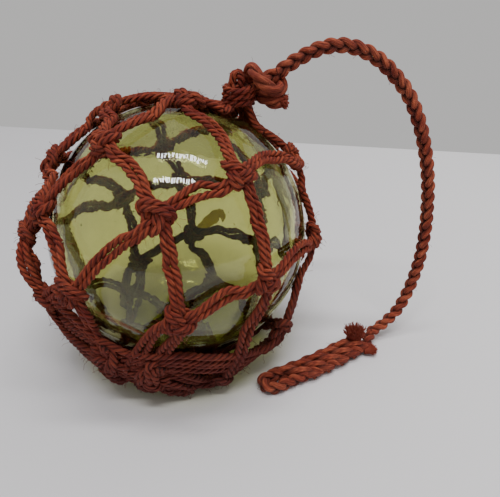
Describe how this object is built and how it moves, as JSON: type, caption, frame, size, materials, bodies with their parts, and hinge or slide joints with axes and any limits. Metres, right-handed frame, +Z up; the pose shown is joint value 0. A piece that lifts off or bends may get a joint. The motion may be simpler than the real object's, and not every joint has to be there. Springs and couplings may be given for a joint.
{
  "type": "glass float ball",
  "caption": "Hollow blown-glass fishing float in a hand-knotted net of doubled twine, with a plaited tail rope that ends in an eye splice.",
  "frame": {"origin": "on the surface that the float lies on, under the middle of the ball", "axes": "+Z up, +X towards the side where the tail rope comes down, +Y away from the front view"},
  "size_m": [0.1975, 0.1399, 0.154],
  "materials": {
    "glass": "polished",
    "net_twine": "matte",
    "tail_rope": "matte"
  },
  "bodies": {
    "root": {"glass_ball": "glass", "net": "net_twine", "rope_knot": "tail_rope", "tail_rope": "tail_rope", "eye_splice": "tail_rope"}
  },
  "joints": []
}
